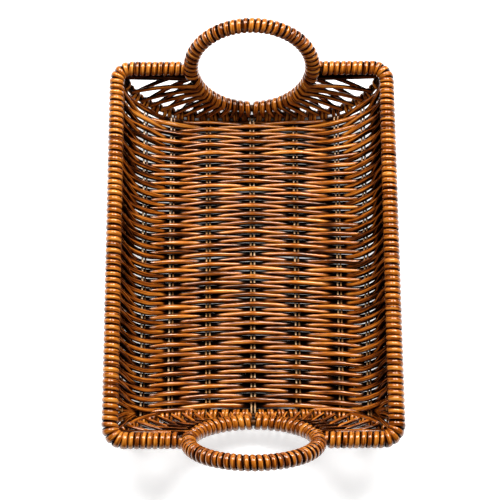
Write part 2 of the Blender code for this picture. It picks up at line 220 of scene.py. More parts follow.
def strandRings(strand, sides, power):
    points = np.asarray(strand["points"], float)
    if strand.get("closed"):
        ways = unit(np.roll(points, -1, axis=0) - np.roll(points, 1, axis=0))
    else:
        ways = unit(np.gradient(points, axis=0))
    across = unit(np.cross(ways, strand["ups"]))
    ups = np.cross(across, ways)
    turn = 2 * math.pi * np.arange(sides) / sides - math.pi / 2
    round1 = np.sign(np.cos(turn)) * np.abs(np.cos(turn)) ** (2 / power)
    round2 = np.sign(np.sin(turn)) * np.abs(np.sin(turn)) ** (2 / power)
    wide = np.broadcast_to(strand["wide"], len(points))[:, None] * round1
    thick = np.broadcast_to(strand["thick"], len(points))[:, None] * round2
    rings = points[:, None] + across[:, None] * wide[..., None] + ups[:, None] * thick[..., None]
    steps = np.linalg.norm(np.diff(points, axis=0), axis=1)
    along = np.concatenate(([0.0], np.cumsum(steps))) + strand.get("start", 0.0)
    grain = np.stack((np.repeat(along[:, None], sides, axis=1), wide, thick), axis=-1)
    outward = np.sin(turn)
    # painted shade: darker towards the edges, where neighbours shade the strand
    paintedShadeShare = (1 - outward ** 2) ** strand.get("edgePower", strandShape["edgePower"])
    if "lift" in strand:                # where it passes behind the stakes there is more painted shade
        behind = -strand["lift"][:, None] / strand["crest"] * np.clip(3 * outward, -1, 1)
        share = np.clip((behind - strandShape["paintedShadeFrom"]) / strandShape["paintedShadeSpan"], 0, 1)
        paintedShadeShare = share ** 2 * (3 - 2 * share) + strand["edgePaintedShade"] * paintedShadeShare
    paintedShade = strand.get("paintedShade", strandShape["paintedShade"])
    tone = np.broadcast_to(strand["tone"], len(points))[:, None] - paintedShade * paintedShadeShare
    return rings, grain, tone, ways


# One or two smaller rings past an end, so that it is rounded, or cut with a worn edge
def capRings(rings, grain, tone, ways, end, cut):
    middle = rings[end].mean(axis=0)
    reach = np.linalg.norm(rings[end] - middle, axis=1).mean()
    way = ways[end] * (1 if end == -1 else -1)
    steps = strandShape["cutEnd"] if cut else strandShape["roundEnd"]
    extra = [middle + (rings[end] - middle) * scale + way * reach * forward for forward, scale in steps]
    return extra, [grain[end]] * len(extra), [tone[end]] * len(extra)


def makeStrands(name, strands, finish, replaced, sides=10, power=2.0):
    points, grains, tones, faces, cutFaces = [], [], [], [], []
    count = 0
    for strand in strands:
        rings, grain, tone, ways = strandRings(strand, sides, power)
        rings, grain, tone = list(rings), list(grain), list(tone)
        closed = strand.get("closed", False)
        if not closed:
            startRings, startGrain, startTone = capRings(rings, grain, tone, ways, 0, strand.get("cutStart"))
            endRings, endGrain, endTone = capRings(rings, grain, tone, ways, -1, strand.get("cutEnd"))
            rings = startRings[::-1] + rings + endRings
            grain = startGrain + grain + endGrain
            tone = startTone + tone + endTone
        rows = len(rings)
        index = count + np.arange(rows * sides).reshape(rows, sides)
        low = index if closed else index[:-1]
        high = np.roll(index, -1, axis=0) if closed else index[1:]
        quads = np.stack((low, high, np.roll(high, -1, axis=1), np.roll(low, -1, axis=1)), axis=-1)
        faces += quads.reshape(-1, 4).tolist()
        if not closed:
            for ring, cut in ((index[0], strand.get("cutStart")), (index[-1][::-1], strand.get("cutEnd"))):
                if cut:
                    cutFaces.append(len(faces))
                faces.append(ring.tolist())
        points += rings
        grains += grain
        tones += tone
        count += rows * sides
    mesh = bpy.data.meshes.new(name)
    mesh.from_pydata(np.concatenate(points).tolist(), [], faces)
    mesh.materials.append(finish)
    mesh.materials.append(cutFinish)
    smooth = np.ones(len(faces), bool)
    smooth[cutFaces] = False
    slots = np.zeros(len(faces), np.int32)
    slots[cutFaces] = 1
    mesh.polygons.foreach_set("use_smooth", smooth)
    mesh.polygons.foreach_set("material_index", slots)
    grainLayer = mesh.attributes.new("grain", "FLOAT_VECTOR", "POINT")
    grainLayer.data.foreach_set("vector", np.concatenate(grains).ravel())
    toneLayer = mesh.attributes.new("tone", "FLOAT", "POINT")
    toneLayer.data.foreach_set("value", np.concatenate(tones))
    mesh.update()
    piece = bpy.data.objects.new(name, mesh)
    bpy.context.scene.collection.objects.link(piece)
    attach(piece, "root")
    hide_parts(*replaced)


# A curve through the points, evenly stepped within each span
def smoothPath(points, perSpan):
    points = np.asarray(points, float)
    padded = np.vstack((2 * points[0] - points[1], points, 2 * points[-1] - points[-2]))
    share = np.arange(perSpan)[:, None] / perSpan
    spans = []
    for before, start, end, after in zip(padded, padded[1:], padded[2:], padded[3:]):
        spans.append(0.5 * (2 * start + (end - before) * share
                            + (2 * before - 5 * start + 4 * end - after) * share ** 2
                            + (3 * start - before - 3 * end + after) * share ** 3))
    return np.vstack((*spans, points[-1:]))


# A slow random drift with one knot every few points
def wander(count, spread, step):
    knots = dice.normal(0, spread, max(int(count / step), 1) + 2)
    return np.interp(np.arange(count), np.linspace(0, count, len(knots)), knots)


# The trough's section, measured along the wall from the middle of the floor

sectionTurn = np.linspace(0, math.pi / 2, 400)
wallSpan = basket["rimWidth"] / 2 - basket["wallInset"] - basket["floorHalf"]
sectionOut = wallSpan * np.sin(sectionTurn) ** (2 / basket["wallPower"])
sectionDrop = basket["troughDepth"] * np.cos(sectionTurn) ** (2 / basket["wallPower"])
sectionX = np.concatenate(([0.0], basket["floorHalf"] + sectionOut))
sectionZ = np.concatenate(([-basket["troughDepth"]], -sectionDrop))
sectionArc = np.concatenate(([0.0], np.cumsum(np.hypot(np.diff(sectionX), np.diff(sectionZ)))))
halfArc = sectionArc[-1]


def sectionAt(arc):
    arc = np.asarray(arc, float)
    side = np.where(arc < 0, -1.0, 1.0)
    length = np.minimum(np.abs(arc), halfArc)
    x, z = np.interp(length, sectionArc, sectionX), np.interp(length, sectionArc, sectionZ)
    nudge = 0.0015
    low, high = np.maximum(length - nudge, 0), np.minimum(length + nudge, halfArc)
    runX = np.interp(high, sectionArc, sectionX) - np.interp(low, sectionArc, sectionX)
    runZ = np.interp(high, sectionArc, sectionZ) - np.interp(low, sectionArc, sectionZ)
    normal = unit(np.stack((-side * runZ, 0 * runZ, runX), axis=-1))
    return side * x, z, normal


def onWall(arc, middleY, sweep, lift):
    x, z, normal = sectionAt(arc)
    y = middleY + sweep * (1 + z / basket["troughDepth"])
    return np.stack((x, y, z + rimZ), axis=-1) + normal * np.asarray(lift)[..., None], normal


def sweepAt(arcs):                      # how far a leaning end lies outside its lowest point
    return endSweep * (1 + sectionAt(arcs)[1] / basket["troughDepth"])


def arcBelowRim(reach):
    away = np.hypot(basket["rimWidth"] / 2 - sectionX, sectionZ)
    return sectionArc[away >= reach].max()


# Stakes: pairs of thin reeds from bow to bow, and a single one under each side of the rim

stakes = {
    "leftShares": (0.875, 0.702, 0.515, 0.281), "rightShares": (0.280, 0.550, 0.740, 0.90),
    "radius": 0.00092, "pairSpacing": 0.0032, "past": 0.0015, "samples": 70,
    "sway": (0.00012, 6), "toneSpread": 0.04,           # spread, and points for each knot
    # painted light and shade: each reed's tone, lighter where it is lit, darker where neighbours shade it
    "tones": ((0.70,), (1.00, 0.35), (0.95, 0.50), (0.75, 0.80), (0.85, 0.95), (0.95, 0.55), (0.90, 0.60),
              (0.70, 0.50), (0.50,)),
}
stakeArcs = [-share * halfArc for share in stakes["leftShares"]] + [0.0]
stakeArcs += [share * halfArc for share in stakes["rightShares"]]
lastStake = len(stakeArcs) - 1


def makeStakes():
    for number, arc in enumerate(stakeArcs):
        single = number in (0, lastStake)
        shifts = (0.0,) if single else (-stakes["pairSpacing"] / 2, stakes["pairSpacing"] / 2)
        reach = bowY + sweepAt(arc) - stakes["past"]
        strands = []
        for shift, tone in zip(shifts, stakes["tones"][number]):
            y = np.linspace(-reach, reach, stakes["samples"])
            sway = wander(len(y), *stakes["sway"])
            x, z, normal = sectionAt(np.full(len(y), arc + shift) + sway)
            points = np.stack((x, y, z + rimZ), axis=-1)
            tone += dice.normal(0, stakes["toneSpread"])
            strands.append({"points": points, "ups": normal, "wide": stakes["radius"],
                            "thick": stakes["radius"], "tone": tone, "start": grainStart(),
                            "cutStart": True, "cutEnd": True})
        name = f"stake_{number + 1}"
        replaced = [name] if single else [name + "a", name + "b"]
        makeStrands(f"stakeReeds_{number + 1}", strands, stakeFinish, replaced, sides=8)
    print("stakes made")


# Weavers: eight strands that go to and fro across the stakes

weave = {
    "rows": 65, "strands": 8, "samples": 120, "topArc": halfArc - 0.0012,
    "turnSteps": 5, "turnReach": 0.0008, "turnWide": 0.9, "turnThick": 0.85,
    "firstGap": 0.007226, "nearGap": 0.0046065,             # far bow to first row, and room for the border
    "lift": 0.0027, "edgeLift": 0.0014, "half": 0.0026, "fullness": 0.67, "crossing": 0.51, "flat": 0.80,
    "levelShare": 0.4, "ease": 0.62, "leastHalf": 0.0015, "mostHalf": 0.0029,
    # painted shade: the walls darker than the floor, the right wall more than the left
    "wallFrom": 0.108, "wallTo": 0.126, "wallGain": 0.12, "wallThick": 0.2, "wallPaintedShade": (0.20, 0.30),
    "endRow": 63, "farPitch": 3.58, "pitchGain": 1.95, "pitchEase": -1.12,
    "shift": 0.00035, "nearShift": 0.0008,
    # painted light: the first rows by the far bow lighter, where the end shades them
    "bowRows": 5.0, "bowLead": 0.0008, "bowLeadArc": 0.07, "bowPaintedLight": 0.14, "bowPaintedLightRows": 3,
    "bendArcs": (0.0, 0.041, 0.076, 0.104, 0.118, 0.133, 0.148),
    "bendShares": (0.0, 0.055, 0.19, 0.42, 0.86, 1.2),     # of the way from the far row to the near one
    "bends": (                                              # lead of each such row over its middle, in mm
        (0.0, 1.6, -0.8, 4.9, 8.5, 11.5, 13.7), (0.0, 1.6, -0.8, 4.9, 8.5, 11.5, 13.7),
        (0.0, -0.6, -3.0, -2.8, 0.5, 5.5, 8.5), (0.0, -1.65, -3.95, -5.4, -2.0, 4.4, 7.0),
        (0.0, -1.15, -3.45, -6.1, -3.5, 1.0, 3.0), (0.0, -1.15, -3.45, -6.1, -3.5, 1.0, 3.0),
    ),
    # painted shade on the weavers: at their edges, and where they pass behind the stakes
    "tone": 0.52, "toneSpread": 0.07, "paintedShade": 0.90, "edgePaintedShade": 0.95,
    "drift": (0.00016, 14), "toneDrift": (0.05, 20),        # spread, and points for each knot
    "joinRow": 33, "joinGap": 0.0011, "joinFade": 12,       # a wider gap, which closes over so many rows
    # painted shade: a dark reed in the gap by the far bow
    "packArc": 0.138, "packInward": 0.0058, "packLift": -0.0012, "packHalf": 0.0021, "packPaintedShade": 0.20,
}
firstRowY = bowY - weave["firstGap"] / math.cos(basket["endLean"])
rowSpan = 2 * firstRowY - weave["nearGap"]
# the weavers' painted shade, given to each of their reeds
reedPaintedShade = {"crest": weave["lift"], "paintedShade": weave["paintedShade"], "edgePaintedShade": weave["edgePaintedShade"]}


# A smooth curve through the knots, which keeps their slopes
def throughKnots(places, values, spots):
    places, values = np.asarray(places, float), np.asarray(values, float)
    slopes = np.gradient(values, places)
    index = np.clip(np.searchsorted(places, spots) - 1, 0, len(places) - 2)
    span = places[index + 1] - places[index]
    share = np.clip((spots - places[index]) / span, 0, 1)
    rise = values[index + 1] - values[index]
    first, last = slopes[index] * span - rise, rise - slopes[index + 1] * span
    return values[index] + rise * share + share * (1 - share) * (first * (1 - share) + last * share)


def pitchSum(share):                    # of the rows up to this share, while the pitch grows
    far, gain, ease = weave["farPitch"], weave["pitchGain"], weave["pitchEase"]
    return far * share + gain * share ** 2 / 2 + ease * share ** 3 / 3


def rowPlace(row):                      # Y where the row crosses the middle
    share = row / weave["endRow"]
    travelled = pitchSum(share) / pitchSum(1)
    y = firstRowY + weave["shift"] + (weave["nearShift"] - weave["shift"]) * share - rowSpan * travelled
    if row >= weave["joinRow"]:
        fade = max(0.0, 1 - (row - weave["joinRow"]) / weave["joinFade"])
        y -= weave["joinGap"] * fade / 2
    elif row > weave["joinRow"] - 1 - weave["joinFade"]:
        y += weave["joinGap"] * (1 - (weave["joinRow"] - 1 - row) / weave["joinFade"]) / 2
    return y


# How far the row lies ahead of its middle: as the bow at the far end, then by the table
def rowBend(row, arcs):
    arcs = np.abs(arcs)
    share = row / weave["endRow"]
    lead = [np.interp(share, weave["bendShares"], column) for column in zip(*weave["bends"])]
    bent = throughKnots(weave["bendArcs"], lead, arcs) / 1000
    bowShare = min(1.0, max(0.0, 1 - row / weave["bowRows"])) ** 2
    asBow = sweepAt(arcs) + weave["bowLead"] * np.clip(arcs / weave["bowLeadArc"], 0, 1)
    return bent + (asBow - bent) * bowShare


def over(row, stake):
    return 1 if (row + stake) % 2 else -1


# The weave's height over the wall: level over each pair, and an S-bend in between
def liftAlong(arcs, row):
    level = stakes["pairSpacing"] / 2 + stakes["radius"] * weave["levelShare"]
    places, lifts = [], []
    for stake, arc in enumerate(stakeArcs):
        height = over(row, stake) * (weave["edgeLift"] if stake in (0, lastStake) else weave["lift"])
        places += [arc - level, arc + level]
        lifts += [height, height]
    places, lifts = [-halfArc, *places, halfArc], [0.0, *lifts, 0.0]
    spot = np.clip(np.searchsorted(places, arcs) - 1, 0, len(places) - 2)
    places, lifts = np.array(places), np.array(lifts)
    share = np.clip((arcs - places[spot]) / (places[spot + 1] - places[spot]), 0, 1)
    ease = weave["ease"] * (1 - np.cos(math.pi * share)) / 2 + (1 - weave["ease"]) * share
    return lifts[spot] + (lifts[spot + 1] - lifts[spot]) * ease


# Points and normals of one full row from left to right, with its half widths, heights and shade
def rowLine(row):
    arcs = np.linspace(-weave["topArc"], weave["topArc"], weave["samples"])
    lifts = liftAlong(arcs, row)
    drift = wander(len(arcs), *weave["drift"])
    bend = rowBend(row, arcs)
    points, normals = onWall(arcs, rowPlace(row) + drift + bend, 0.0, lifts)
    before, after = (rowPlace(near) + rowBend(near, arcs) for near in (row - 0.5, row + 0.5))
    room = (before - after) / np.hypot(1, np.gradient(bend, arcs))
    crest = np.clip(weave["fullness"] * room, weave["leastHalf"], weave["half"])
    crossing = 1 - np.clip(np.abs(lifts) / weave["lift"], 0, 1)
    climb = np.clip((np.abs(arcs) - weave["wallFrom"]) / (weave["wallTo"] - weave["wallFrom"]), 0, 1)
    narrow = weave["crossing"] * room * (1 + weave["wallGain"] * climb)
    narrow = np.clip(narrow, weave["leastHalf"], weave["mostHalf"])
    halfWide = crest + (narrow - crest) * crossing
    halfThick = crest * weave["flat"] * (1 + weave["wallThick"] * climb)
    # painted shade on the walls
    shade = weave["tone"] - climb * np.where(arcs < 0, *weave["wallPaintedShade"])
    # painted light on the first rows by the far bow
    shade = shade + weave["bowPaintedLight"] * max(0.0, 1 - row / weave["bowPaintedLightRows"])
    return points, normals, halfWide, halfThick, lifts, shade


def turnAround(row, side):              # inside the rim's binding, from this row to the next
    steps = np.linspace(0, math.pi, weave["turnSteps"] + 2)[1:-1]
    share = (1 - np.cos(steps)) / 2
    y0, y1 = (rowPlace(end) + rowBend(end, np.array([weave["topArc"]]))[0] for end in (row, row + 1))
    arc = side * (weave["topArc"] + weave["turnReach"] * np.sin(steps))
    return onWall(arc, y0 + (y1 - y0) * share, 0.0, 0 * steps)


def paintedShadeReed():                      # a dark reed as painted shade in the gap between the far bow and the first row
    arcs = np.linspace(-weave["packArc"], weave["packArc"], weave["samples"])
    lifts = np.full(len(arcs), weave["packLift"])
    points, normals = onWall(arcs, bowY - weave["packInward"] + sweepAt(arcs), 0.0, lifts)
    return {"points": points, "ups": normals, "wide": weave["packHalf"],
            "thick": weave["packHalf"] * weave["flat"], "tone": weave["packPaintedShade"], "start": grainStart()}


def makeWeavers():
    for number in range(weave["strands"]):
        first = weave["rows"] * number // weave["strands"]
        last = weave["rows"] * (number + 1) // weave["strands"]
        points, ups, wide, thick, tone, lift = [], [], [], [], [], []
        for row in range(first, last):
            line, normals, halfWide, halfThick, lifts, shade = rowLine(row)
            order = slice(None) if row % 2 == 0 else slice(None, None, -1)
            points.append(line[order])
            ups.append(normals[order])
            wide.append(halfWide[order])
            thick.append(halfThick[order])
            lift.append(lifts[order])
            rowTone = dice.normal(0, weave["toneSpread"])
            tone.append(shade[order] + rowTone + wander(len(line), *weave["toneDrift"]))
            if row < last - 1:
                turn, turnUps = turnAround(row, 1 if row % 2 == 0 else -1)
                points.append(turn)
                ups.append(turnUps)
                wide.append(np.full(len(turn), halfWide[0] * weave["turnWide"]))
                thick.append(np.full(len(turn), halfThick[0] * weave["turnThick"]))
                lift.append(np.zeros(len(turn)))
                tone.append(np.full(len(turn), shade[0]))
        strand = {"points": np.vstack(points), "ups": np.vstack(ups), "wide": np.concatenate(wide),
                  "thick": np.concatenate(thick), "tone": np.concatenate(tone), "lift": np.concatenate(lift),
                  "start": grainStart(), "cutStart": True, "cutEnd": True, **reedPaintedShade}
        strands = [paintedShadeReed(), strand] if number == 0 else [strand]
        makeStrands(f"weaverReed_{number + 1:02d}", strands, reedFinish,
                    [f"weaver_{number + 1:02d}"])
    print("weavers made")


# Border: the last reed follows the near bow, and a short one lies outside it at each side

border = {                              # arc, way in from the bow, height over the wall, all in mm
    "long": ((0, 3.6, -2.4), (30, 3.6, -2.4), (44, 4.0, -2.2), (57, 4.5, 0.8), (68, 5.1, 3.0),
             (78, 5.4, 3.6), (90, 6.2, 2.4), (101, 7.0, -1.8), (107, 7.0, -2.2), (119, 6.4, 0.6),
             (130, 5.6, 2.3), (146, 5.0, 0.0)),
    "short": ((74, 1.5, -2.0), (84, 3.0, 0.6), (93, 3.6, 3.2), (103, 3.6, 4.0), (112, 3.4, 3.6),
              (121, 2.6, 2.6)),
    "half": 0.0023, "perSpan": 6, "toneGain": 0.04, "toneDrift": (0.05, 12),
}


def alongBorder(bends):
    arcs, inwards, lifts = (smoothPath([[bend[column] / 1000] for bend in bends], border["perSpan"])[:, 0]
                            for column in range(3))
    points, normals = onWall(arcs, inwards - bowY - sweepAt(arcs), 0.0, lifts)
    tone = weave["tone"] + border["toneGain"] + wander(len(points), *border["toneDrift"])
    return {"points": points, "ups": normals, "wide": border["half"], "thick": border["half"] * weave["flat"],
            "lift": lifts, "tone": tone, "start": grainStart(), "cutStart": True, "cutEnd": True, **reedPaintedShade}


def makeBorderWeaver():
    mirrored = [(-arc, inward, lift) for arc, inward, lift in border["long"][:0:-1]]
    strands = [alongBorder([*mirrored, *border["long"]])]
    for side in (-1, 1):
        strands.append(alongBorder([(side * arc, inward, lift) for arc, inward, lift in border["short"]]))
    makeStrands("borderReed", strands, reedFinish, ["border_weaver"])


cornerFill = {                          # tuck: way in from the outer stake, height, where the rows meet
    "rows": 4, "top": 0.001,
    "tuck": ((0.010, -0.0006, None), (0.020, -0.0022, 0.5), (0.030, -0.0034, 0.5)),
    "perSpan": 6, "toneSpread": 0.06, "toneDrift": (0.05, 8),
}


def cornerPoint(side, arc, lift, share):
    arcs = np.array([arc])
    lastRow = weave["rows"] - 1
    last, normal = onWall(side * arcs, rowPlace(lastRow) + rowBend(lastRow, arcs), 0.0, np.array([lift]))
    knots = [bend[0] / 1000 for bend in border["long"]]
    inward = np.interp(arc, knots, [bend[1] / 1000 for bend in border["long"]])
    edge, _ = onWall(side * arcs, inward - bowY - sweepAt(arcs), 0.0, np.array([lift]))
    return (last + (edge - last) * share)[0], normal[0]


# Short rows that fill a near corner, each tucked under the weave at its inner end
def makeCornerWeaver(name, side):
    outermost = 0 if side < 0 else lastStake
    outerArc = abs(stakeArcs[outermost])
    strands = []
    for row in range(cornerFill["rows"]):
        share = (row + 1) / (cornerFill["rows"] + 1)
        outerLift = over(weave["rows"] + row, outermost) * weave["edgeLift"]
        line = [(halfArc - cornerFill["top"], 0.0, share), (outerArc, outerLift, share)]
        line += [(outerArc - inward, lift, meeting or share) for inward, lift, meeting in cornerFill["tuck"]]
        bends = [cornerPoint(side, *bend) for bend in line]
        points = smoothPath([point for point, _ in bends], cornerFill["perSpan"])
        normals = smoothPath([normal for _, normal in bends], cornerFill["perSpan"])
        lifts = smoothPath([[bend[1]] for bend in line], cornerFill["perSpan"])[:, 0]
        start = grainStart()
        rowTone = dice.normal(0, cornerFill["toneSpread"])
        tone = weave["tone"] + rowTone + wander(len(points), *cornerFill["toneDrift"])
        strands.append({"points": points, "ups": unit(normals), "wide": border["half"],
                        "thick": border["half"] * weave["flat"], "lift": lifts, "tone": tone, "start": start,
                        "cutEnd": True, **reedPaintedShade})
    makeStrands(f"cornerReeds_{name}", strands, reedFinish, [f"corner_weaver_{name}"])


# Bindings: a reed wound side by side over a pole

binding = {
    "pitch": 0.00532, "wide": 0.00272, "thick": 0.00200, "power": 2.0, "perTurn": 20, "sides": 12,
    "level": 0.45, "wobble": 0.00012, "rimOutset": (0.0011, 0.0004), "hoopOutset": 0.0007,
    "cornerWidth": (0.35, 0.65), "cornerLimits": (0.72, 1.28), "hoopClearance": 0.0003,
    # painted light: the rim binding lighter, the left one more than the right
    # painted shade: each wrap darker towards its edges, where its neighbours shade it
    "tone": 0.61, "toneSpread": 0.06, "rimPaintedLight": {-1: 0.07, 1: 0.03}, "paintedShade": 0.90, "edgePower": 1.8,
}


# A reed wound over a path of centres given at even steps. hand +1 or -1 sets which way it leans
def woundReed(centres, tangents, ups, hand, start, outset):
    steps = np.linalg.norm(np.diff(centres, axis=0), axis=1)
    run = np.concatenate(([0.0], np.cumsum(steps)))
    turns = int(round(run[-1] / binding["pitch"]))
    count = turns * binding["perTurn"] + 1
    turn = np.linspace(0, turns, count)
    angle = 2 * math.pi * turn
    wobble = np.interp(turn, np.arange(turns + 2), dice.normal(0, binding["wobble"], turns + 2))
    pitch = run[-1] / turns
    place = np.clip(pitch * (turn - binding["level"] * np.sin(angle) / (2 * math.pi)) + wobble, 0, run[-1])

    def pick(table):
        return np.stack([np.interp(place, run, table[:, axis]) for axis in range(3)], axis=-1)

    centre, tangent, up = pick(centres), unit(pick(tangents)), unit(pick(ups))
    side = unit(np.cross(tangent, up)) * hand
    radial = up * np.cos(angle)[:, None] + side * np.sin(angle)[:, None]
    reach = basket["boundRadius"] + outset(centre[:, 1:2]) - binding["thick"]
    turnTone = np.interp(turn, np.arange(turns + 2), dice.normal(0, binding["toneSpread"], turns + 2))
    return {"points": centre + radial * reach, "ups": radial, "wide": binding["wide"],
            "thick": binding["thick"], "tone": binding["tone"] + turnTone, "start": start,
            "paintedShade": binding["paintedShade"], "edgePower": binding["edgePower"]}


def rimCentreline(side, step=0.0012):
    halfLength, halfWidth, radius = basket["rimLength"] / 2, basket["rimWidth"] / 2, basket["cornerRadius"]
    centreX, centreY = halfWidth - radius, halfLength - radius
    hoopSide = basket["hoopWidth"] / 2 + basket["boundRadius"] + binding["hoopClearance"]
    far = [(centreX + radius * math.cos(turn), centreY + radius * math.sin(turn))
           for turn in np.linspace(0, math.pi / 2, 20)]
    far.append((hoopSide, halfLength))
    outline = np.array([(x, -y) for x, y in far[::-1]] + far)
    run = np.concatenate(([0.0], np.cumsum(np.linalg.norm(np.diff(outline, axis=0), axis=1))))
    even = np.linspace(0, run[-1], int(run[-1] / step))
    x, y = np.interp(even, run, outline[:, 0]), np.interp(even, run, outline[:, 1])
    points = np.stack((side * x, y, np.full(len(x), rimZ)), axis=-1)
    return points, unit(np.gradient(points, axis=0))


def rimOutset(y):                       # the binding stands out a little more at the near end
    return np.interp(y, np.array((-0.5, 0.5)) * basket["rimLength"], binding["rimOutset"])


def makeRimBindings():
    for name, side in (("left", -1), ("right", 1)):
        centres, tangents = rimCentreline(side)
        ups = np.tile(zAxis, (len(centres), 1))
        strand = woundReed(centres, tangents, ups, -1, grainStart(), rimOutset)
        x, y = np.abs(strand["points"][:, 0]), np.abs(strand["points"][:, 1])
        cornerX = basket["rimWidth"] / 2 - basket["cornerRadius"]
        cornerY = basket["rimLength"] / 2 - basket["cornerRadius"]
        away = np.hypot(np.maximum(x - cornerX, 0), np.maximum(y - cornerY, 0)) / basket["cornerRadius"]
        inCorner = (x > cornerX) & (y > cornerY)
        least, gain = binding["cornerWidth"]            # narrower inside the bend, wider outside
        spread = np.clip(least + gain * away, *binding["cornerLimits"])
        strand["wide"] = binding["wide"] * np.where(inCorner, spread, 1)
        # painted light on the rim binding, more on the left
        strand["tone"] = strand["tone"] + binding["rimPaintedLight"][side]
        makeStrands(f"rimBinding_{name}", [strand], bindingFinish, [f"rim_binding_{name}"],
                    sides=binding["sides"], power=binding["power"])
    print("rim bound")


# Ends: hoop, bow and fan lacing lie in a plane that leans out at the top

def endFrame(end):
    lean = basket["endLean"]
    rise = np.array((0.0, end * math.sin(lean), math.cos(lean)))
    back = np.array((0.0, end * math.cos(lean), -math.sin(lean)))
    centreY = end * (endPlaneY + basket["hoopRise"] * math.tan(lean))
    return np.array((0.0, centreY, basket["hoopRise"] + rimZ)), rise, back


# The hoop's centreline and outward direction, with the angle from its lowest point round to +X
def hoopAt(end, angle):
    centre, rise, _ = endFrame(end)
    angle = np.asarray(angle, float)[..., None]
    halfWide, halfHigh = basket["hoopWidth"] / 2, basket["hoopHeight"] / 2 + ends["hoopGrowth"]
    centre = centre + np.array(ends["hoopShift"][end])
    point = centre + xAxis * halfWide * np.sin(angle) - rise * halfHigh * np.cos(angle)
    outward = unit(xAxis * halfHigh * np.sin(angle) - rise * halfWide * np.cos(angle))
    return point, outward


def bowAt(end, arc):
    return onWall(np.asarray(arc, float), end * bowY, end * endSweep, 0.0)[0]


# The direction in the leaning plane that is square to the bow and points to the hoop
def bowInward(end, arc):
    arc, nudge = np.asarray(arc, float), 0.0017
    along = bowAt(end, arc + nudge) - bowAt(end, arc - nudge)
    return unit(np.cross(endFrame(end)[2], along)) * end


ends = {
    "reach": math.radians(72.5), "gripStart": math.radians(76.8), "loops": 24, "bowRadius": 0.00175,
    "hoopWide": 0.00280, "hoopThick": 0.00190, "legWide": 0.00205, "legThick": 0.00175, "legSteps": 10,
    "bowWide": 0.00190, "bowThick": 0.00180, "bowGrowth": 0.12, "bowTurns": 2.5, "bowSteps": 5,
    "footTurn": 0.28, "topLeg": math.radians(73), "topLegWide": 0.0028, "topLegThick": 0.0026,
    "topLegFeet": {1: (0.1165, 0.1654, -0.0085), -1: (0.1165, 0.1622, -0.0085)},
    "legArch": 0.0026, "backLead": math.radians(2.5), "topBackLead": math.radians(9),
    "hoopGrowth": 0.0021, "hoopShift": {1: (0, -0.0011, -0.0023), -1: (0, -0.0021, 0)},
    "feet": (112.9, 104.4, 96.3, 85.5, 73.5, 63.0, 52.0, 41.0, 29.5, 19.8, 10.6, 3.0),  # from the middle, mm
    # painted shade: the back legs and the top leg darker, where they lie behind or under other parts
    "crowding": 0.13, "jitter": 0.0002, "drawn": 0.009, "sight": math.radians(75), "backPaintedShade": 0.30,
    # painted shade: each leg darker towards its edges
    "tone": 0.58, "toneSpread": 0.06, "paintedShade": 0.80, "poleTone": 0.45, "bowTone": 0.42,
}


def makeHoopPole(name, end):
    angle = np.linspace(0, 2 * math.pi, 96, endpoint=False)
    points, outward = hoopAt(end, angle)
    radius = basket["poleRadius"]
    strand = {"points": points, "ups": outward, "wide": radius, "thick": radius, "tone": ends["poleTone"],
              "closed": True}
    makeStrands(f"hoopPole_{name}", [strand], poleFinish, [f"hoop_core_{name}"], sides=12)


def makeGripBinding(name, end):
    angle = np.linspace(ends["gripStart"], 2 * math.pi - ends["gripStart"], 260)
    centres, outward = hoopAt(end, angle)
    tangents = unit(np.gradient(centres, axis=0))
    strand = woundReed(centres, tangents, outward, -end, grainStart(), lambda y: binding["hoopOutset"])
    makeStrands(f"gripBinding_{name}", [strand], bindingFinish, [f"grip_binding_{name}"],
                sides=binding["sides"], power=binding["power"])


def makeBow(name, end):
    radius = ends["bowRadius"]
    top = arcBelowRim(basket["boundRadius"] + radius)
    arc = np.linspace(-top, top, 120)
    points = bowAt(end, arc)
    ups = np.tile(endFrame(end)[2], (len(arc), 1))
    strand = {"points": points, "ups": ups, "wide": radius, "thick": radius, "tone": ends["bowTone"]}
    makeStrands(f"bowRod_{name}", [strand], poleFinish, [f"bow_{name}"])


# Where the back leg of a loop ends on the bow, so that from the open side the loop closes to a point
def closedFoot(end, side, frontArc, frontFoot, hoopFront):
    sight = np.array((0.0, -end * math.cos(ends["sight"]), math.sin(ends["sight"])))
    facing = unit(np.cross(sight, hoopFront - frontFoot))
    arcs = frontArc - side * np.linspace(0, ends["drawn"], 46)
    feet = bowAt(end, arcs) + endFrame(end)[2] * (ends["bowRadius"] + ends["bowThick"])
    return feet[np.argmin(np.abs((feet - frontFoot) @ facing))]


